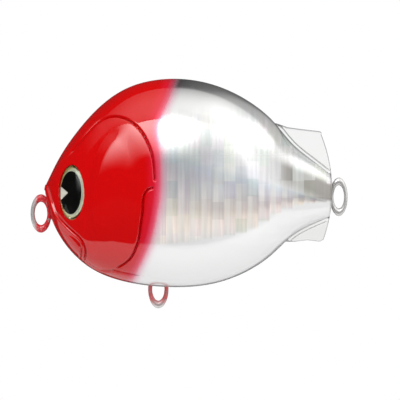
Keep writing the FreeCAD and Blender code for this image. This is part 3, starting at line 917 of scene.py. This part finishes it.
FIN_THICKNESS = 1.2
FIN_OUTLINE = [
    (35.6, 12.2), (36.5, 14.1), (37.1, 13.93), (37.6, 13.75), (38.4, 13.45), (40.0, 13.23), (42.0, 13.0),
    (43.3, 12.85), (43.62, 12.75), (43.8, 12.5),
]
FIN_TAIL_TURN = (22.3, -20.0)  # where the rear arc starts and ends, degrees above level
FIN_ARC_POINTS = 140
FIN_UNDERSIDE = [
    (43.6, -4.35), (43.3, -4.38), (41.5, -4.17), (39.6, -4.4), (38.2, -4.4), (36.6, -3.9), (35.6, -3.6),
]
FIN_GRID = 0.22
FIN_BEVEL = 0.22
FIN_BEVEL_RINGS = (0.25, 0.6, 1.0)
FIN_ROOT = 0.12  # extra half thickness where the fin grows out of the body
FIN_ROOT_REACH = (0.30, 0.42)  # the root's step back to the plate, as distances from the body
FIN_ROOT_RINGS = (0, 0.15, *np.linspace(*FIN_ROOT_REACH, 5), 0.55)
FIN_ROOT_CLEAR = 0.65  # the plain grid of points starts further from the body than this
FIN_ROOT_FADE = 0.5  # the root fades out over this distance from the fin's edge
FIN_SMOOTH_ANGLE = 60.0
FIN_RIM = 0.13  # how far in from its edge the fin is painted darker, a painted shade for the dark look of the clear rim


def fin_outline():
    """The fin's edge as closely spaced points."""
    start, end = (math.radians(a) for a in FIN_TAIL_TURN)
    turns = np.linspace(start, end, FIN_ARC_POINTS)[1:-1]
    rear = [(TAIL_ARC_CENTRE[0] + TAIL_ARC_RADIUS * math.cos(a),
             TAIL_ARC_CENTRE[1] + TAIL_ARC_RADIUS * math.sin(a)) for a in turns]
    corners = [*FIN_OUTLINE, *rear, *FIN_UNDERSIDE]
    points = []
    for p, q in zip(corners, corners[1:] + corners[:1]):
        count = max(1, int(math.dist(p, q) / FIN_GRID))
        points += [(p[0] + (q[0] - p[0]) * n / count, p[1] + (q[1] - p[1]) * n / count) for n in range(count)]
    return np.array(points)


def edge_gap(points, outline):
    """Distance of each point from a closed outline, and whether it is inside."""
    gap = np.full(len(points), FAR)
    inside = np.zeros(len(points), bool)
    for p, q in zip(outline, np.roll(outline, -1, axis=0)):
        run = q - p
        t = np.clip((points - p) @ run / (run @ run), 0, 1)
        gap = np.minimum(gap, np.linalg.norm(points - p - t[:, None] * run, axis=1))
        crosses = (p[1] > points[:, 1]) != (q[1] > points[:, 1])
        level = np.where(crosses, (points[:, 1] - p[1]) / (q[1] - p[1] + 1e-12), 0)
        inside ^= crosses & (points[:, 0] < p[0] + level * run[0])
    return gap, inside


def out_of(line):
    """Unit directions across a line, on its left as it runs."""
    run = np.gradient(line, axis=0)
    across = np.stack([-run[:, 1], run[:, 0]], axis=1)
    return across / np.linalg.norm(across, axis=1, keepdims=True)


def distance_between(points, line):
    """Distance of each point from the nearest point of a closely sampled line."""
    return np.min(np.linalg.norm(points[:, None] - line[None, ::2], axis=2), axis=1)


def fin_grid(outline, body_edge):
    """A square grid of points inside the fin, clear of its rim and of the body."""
    low, high = outline.min(0), outline.max(0)
    xs = np.arange(low[0], high[0], FIN_GRID)
    zs = np.arange(low[1], high[1], FIN_GRID)
    spread = np.array([(a, b) for a in xs for b in zs])
    gap, inside = edge_gap(spread, outline)
    clear = distance_between(spread, body_edge) > FIN_ROOT_CLEAR
    return spread[inside & clear & (gap > FIN_BEVEL * 1.3)]


def fin_root_rings(outline):
    """Rows of points along the body's back and belly, where the fin's root steps down."""
    rings = []
    for line, ways in ((back[0], out_of(back[0])), (belly[0], -out_of(belly[0]))):
        for offset in FIN_ROOT_RINGS:
            ring = (line + offset * ways)[::4]
            gap, inside = edge_gap(ring, outline)
            rings.append(ring[inside & (gap > FIN_BEVEL * 1.2)])
    return rings


def fin_rim_rings(outline):
    """Rows of points inside the outline, where the rim is rounded."""
    run = np.roll(outline, 1, axis=0) - np.roll(outline, -1, axis=0)
    across = np.stack([run[:, 1], -run[:, 0]], axis=1)
    across /= np.linalg.norm(across, axis=1, keepdims=True)
    rings = []
    for share in FIN_BEVEL_RINGS:
        inset = FIN_BEVEL * share
        ring = outline + across * inset
        if edge_gap(ring, outline)[1].mean() <= 0.5:
            ring = outline - across * inset
        gap, inside = edge_gap(ring, outline)
        rings.append(ring[inside & (gap > inset * 0.9)])
    return rings


def fin_half_thickness(flat, outline, body_edge):
    """Half the fin's thickness at each point: rounded at the rim, thicker at the root."""
    gap, _ = edge_gap(flat, outline)
    round_off = np.clip(FIN_BEVEL - gap, 0, FIN_BEVEL)
    half = FIN_THICKNESS / 2 - FIN_BEVEL + np.sqrt(FIN_BEVEL**2 - round_off**2)
    root = distance_between(flat, body_edge)
    near_body = smooth_step(FIN_ROOT_REACH[1], FIN_ROOT_REACH[0], root)
    return half + FIN_ROOT * near_body * smooth_step(0, FIN_ROOT_FADE, gap)


def build_fin():
    outline = fin_outline()
    body_edge = np.concatenate([back[0], belly[0]])
    points = [fin_grid(outline, body_edge), *fin_root_rings(outline), *fin_rim_rings(outline)]
    flat = [Vector(p) for p in np.concatenate([outline, *points])]
    edges = [(n, (n + 1) % len(outline)) for n in range(len(outline))]
    flat, _, triangles, *_ = delaunay_2d_cdt(flat, edges, [], 1, 1e-6)
    flat = np.array([tuple(p) for p in flat])
    half = fin_half_thickness(flat, outline, body_edge)
    total = len(flat)
    vertices = [(x, -h, z) for (x, z), h in zip(flat, half)] + [(x, h, z) for (x, z), h in zip(flat, half)]
    faces = [tuple(t) for t in triangles] + [tuple(total + n for n in t[::-1]) for t in triangles]
    sides = [(a, b) for t in triangles for a, b in zip(t, [*t[1:], t[0]])]
    known = set(sides)
    faces += [(b, a, total + a, total + b) for a, b in sides if (b, a) not in known]
    fin = mesh_object("fin", vertices, faces, FIN_SMOOTH_ANGLE)
    if sum(p.normal.y * p.area for p in fin.data.polygons if p.center.y < 0) > 0:
        fin.data.flip_normals()
    fin.data.materials.append(fin_clear)
    fin.data.materials.append(fin_rim_painted_shade)
    # painted shade: faces near the fin's edge take the darker material, standing in for the dark look of the
    # clear rim
    centres = np.array([(p.center.x, p.center.z) for p in fin.data.polygons]) / MM
    for polygon, gap in zip(fin.data.polygons, edge_gap(centres, outline)[0]):
        polygon.material_index = int(gap < FIN_RIM)
    fin.visible_shadow = False
    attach(fin, "lure")
    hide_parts("tail_fin")


def dress(material, *nodes):
    """A kept CAD node gets its material."""
    for node in nodes:
        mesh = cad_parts[node].data
        mesh.materials.clear()
        mesh.materials.append(material)


# ---- camera, lights, floor

VIEW_CENTRE = (24.8, 2.1)  # x and z at the picture's middle
VIEW_WIDTH = 62.4
LENS = 500.0
SENSOR = 36.0
FLOOR_Z = -60.0
FLOOR_RADIUS = 750.0
TABLE_FRONT = -58.0  # reflections see the floor bright from here
TABLE_BEHIND = 85.0  # to here, across the lure
TABLE_FADES = (3.0, 30.0)  # and fading past each of those
ALONG, UP = 0, 1  # the two ways across a light
WORLD_GLOSS = [  # the brightness in reflections, from the nose end (0) to the tail end (1)
    (0.48, 0.03), (0.55, 0.10), (0.62, 0.15), (0.70, 0.42), (0.85, 0.55),
]
WORLD_FILL = 0.52  # and as light on matt surfaces


def build_camera():
    data = bpy.data.cameras.new("camera")
    data.lens = LENS
    data.sensor_width = SENSOR
    data.clip_start = 0.01
    data.clip_end = 10
    camera = bpy.data.objects.new("camera", data)
    distance = LENS / SENSOR * VIEW_WIDTH
    camera.location = Vector((VIEW_CENTRE[0], -distance, VIEW_CENTRE[1])) * MM
    camera.rotation_euler = (math.pi / 2, 0, 0)
    bpy.context.scene.collection.objects.link(camera)
    bpy.context.scene.camera = camera


def softbox(name, centre, size, radiance, *fades):
    """A rectangular light that faces the lure. Each fade gives a way across it (ALONG from the nose end,
    UP from the lower edge), two places along that way and the strength at each."""
    data = bpy.data.lights.new(name, "AREA")
    data.shape = "RECTANGLE"
    data.size, data.size_y = size
    data.energy = radiance * math.pi * size[0] * size[1]
    data.use_nodes = True
    nodes, links = data.node_tree.nodes, data.node_tree.links
    place = nodes.new("ShaderNodeNewGeometry")
    split = nodes.new("ShaderNodeSeparateXYZ")
    links.new(place.outputs["Parametric"], split.inputs[0])
    strength = nodes["Emission"].inputs["Strength"]
    for way, *fade in fades:
        ramp = nodes.new("ShaderNodeMapRange")
        ramp.interpolation_type = "SMOOTHSTEP"
        for key, value in zip(("From Min", "From Max", "To Min", "To Max"), fade):
            ramp.inputs[key].default_value = value
        faded = nodes.new("ShaderNodeMath")
        faded.operation = "MULTIPLY"
        links.new(split.outputs[way], ramp.inputs["Value"])
        links.new(ramp.outputs[0], faded.inputs[0])
        faded.inputs[1].default_value = 1.0
        links.new(faded.outputs[0], strength)
        strength = faded.inputs[1]
    light = bpy.data.objects.new(name, data)
    light.location = centre
    aim = Vector((VIEW_CENTRE[0] * MM, 0, VIEW_CENTRE[1] * MM)) - Vector(centre)
    light.rotation_euler = aim.to_track_quat("-Z", "Y").to_euler()
    light.visible_camera = False
    bpy.context.scene.collection.objects.link(light)


def build_world():
    """White to the camera and through clear parts, dimmer in reflections and as fill light."""
    world = bpy.data.worlds.new("studio")
    bpy.context.scene.world = world
    world.use_nodes = True
    nodes, links = world.node_tree.nodes, world.node_tree.links
    background = nodes["Background"]
    path = nodes.new("ShaderNodeLightPath")
    direction = nodes.new("ShaderNodeSeparateXYZ")
    links.new(nodes.new("ShaderNodeTexCoord").outputs["Generated"], direction.inputs[0])
    along, gloss = nodes.new("ShaderNodeMapRange"), nodes.new("ShaderNodeValToRGB")
    along.inputs["From Min"].default_value = -1.0
    links.new(direction.outputs[0], along.inputs["Value"])
    links.new(along.outputs[0], gloss.inputs[0])
    set_stops(gloss, [(place, (strength,) * 3) for place, strength in WORLD_GLOSS])
    shiny, matt = nodes.new("ShaderNodeMix"), nodes.new("ShaderNodeMix")
    shiny.inputs[2].default_value = 1.0
    matt.inputs[3].default_value = WORLD_FILL
    links.new(path.outputs["Glossy Depth"], shiny.inputs[0])
    links.new(gloss.outputs[0], shiny.inputs[3])
    links.new(path.outputs["Diffuse Depth"], matt.inputs[0])
    links.new(shiny.outputs[0], matt.inputs[2])
    links.new(matt.outputs[0], background.inputs["Strength"])
    background.inputs["Color"].default_value = (1, 1, 1, 1)


def build_floor():
    """Pale, but dark to reflections beyond a strip of table."""
    bpy.ops.mesh.primitive_circle_add(vertices=96, radius=FLOOR_RADIUS * MM, fill_type="NGON",
                                      location=(VIEW_CENTRE[0] * MM, 0, FLOOR_Z * MM))
    floor = bpy.context.object
    floor.name = "floor"
    m = Material("floor")
    _, y, _ = m.axes(m.point())
    m.surface(Base_Color=(0.78, 0.78, 0.78, 1), Roughness=0.9, Specular_IOR_Level=0.0)
    path = m.node("ShaderNodeLightPath")
    beyond = m.math("MAXIMUM", m.step(y, TABLE_FRONT, TABLE_FRONT - TABLE_FADES[0]),
                    m.step(y, TABLE_BEHIND, TABLE_BEHIND + TABLE_FADES[1]))
    dark = m.node("ShaderNodeEmission", {"Color": (1, 1, 1, 1), "Strength": 0.05}).outputs[0]
    share = m.math("MULTIPLY", m.math("MINIMUM", path.outputs["Glossy Depth"], 1.0), beyond)
    mixed = m.node("ShaderNodeMixShader", {0: share, 1: m.shader.outputs[0], 2: dark})
    m.tree.links.new(mixed.outputs[0], m.tree.nodes["Material Output"].inputs["Surface"])
    floor.data.materials.append(m.made)


bpy.context.scene.view_settings.view_transform = "Standard"
paint = build_paint()
fin_clear = build_fin_clear("fin_clear", (0.95, 0.955, 0.945), (0.98, 0.985, 0.975))
# painted shade: a darker clear material for the fin's rim
fin_rim_painted_shade = build_fin_clear("fin_rim_painted_shade", (0.36, 0.37, 0.37), (0.42, 0.43, 0.43))
lens_clear = build_lens()
notch_print = build_print("notch_print", (0.64, 0.61, 0.53), (0.70, 0.67, 0.59), 0.35)
for word in SIDES:
    build_skin(word)
    build_eye(word)
build_fin()
dress(build_wire(), "line_tie", "belly_hanger", "tail_hanger")
dress(build_print("pupil_print", (0.0008, 0.0006, 0.0005), (0.0016, 0.0012, 0.001), 0.4, 0.05),
      "eye_pupil_left", "eye_pupil_right")
dress(build_metal("flank_foil", (0.70, 0.72, 0.76), (0.85, 0.86, 0.88), 0.15),
      "flank_foil_left", "flank_foil_right")
dress(build_metal("ballast_steel", (0.45, 0.45, 0.46), (0.62, 0.62, 0.63), 0.2),
      "belly_ballast", "tail_ballast")
dress(build_metal("ball_steel", (0.66, 0.66, 0.67), (0.76, 0.76, 0.77), 0.08), "cast_ball")
dress(build_metal("magnet_nickel", (0.66, 0.64, 0.60), (0.78, 0.76, 0.72), 0.15), "cast_magnet")
dress(build_metal("rattle_brass", (0.68, 0.50, 0.20), (0.80, 0.62, 0.30), 0.15),
      "rattle_ball_left", "rattle_ball_right")
dress(build_moulded("tube_clear", (0.86, 0.89, 0.92), (0.92, 0.95, 0.97), 0.1, 0.7), "cast_tube")
dress(build_moulded("drum_plastic", (0.05, 0.05, 0.055), (0.10, 0.10, 0.105), 0.35),
      "rattle_drum", "rattle_lid_left", "rattle_lid_right")
build_camera()
softbox("top_panel", (0.025, -0.083, 0.523), (1.9, 0.61), 0.92,
        (UP, 0.30, 1.0, 1.0, 0.45), (UP, 0.0, 0.2, 0.8, 1.0),
        (ALONG, 0.05, 0.50, 0.0, 1.0), (ALONG, 0.60, 0.90, 1.0, 0.8))
softbox("key_panel", (0.025, -0.525, 0.291), (1.4, 0.47), 5.6,
        (UP, 0.0, 0.9, 0.0, 1.0), (ALONG, 0.08, 0.36, 0.0, 1.0), (ALONG, 0.42, 0.62, 1.0, 0.17))
softbox("tail_panel", (0.58, -0.22, 0.20), (0.60, 0.80), 0.45)
build_world()
build_floor()
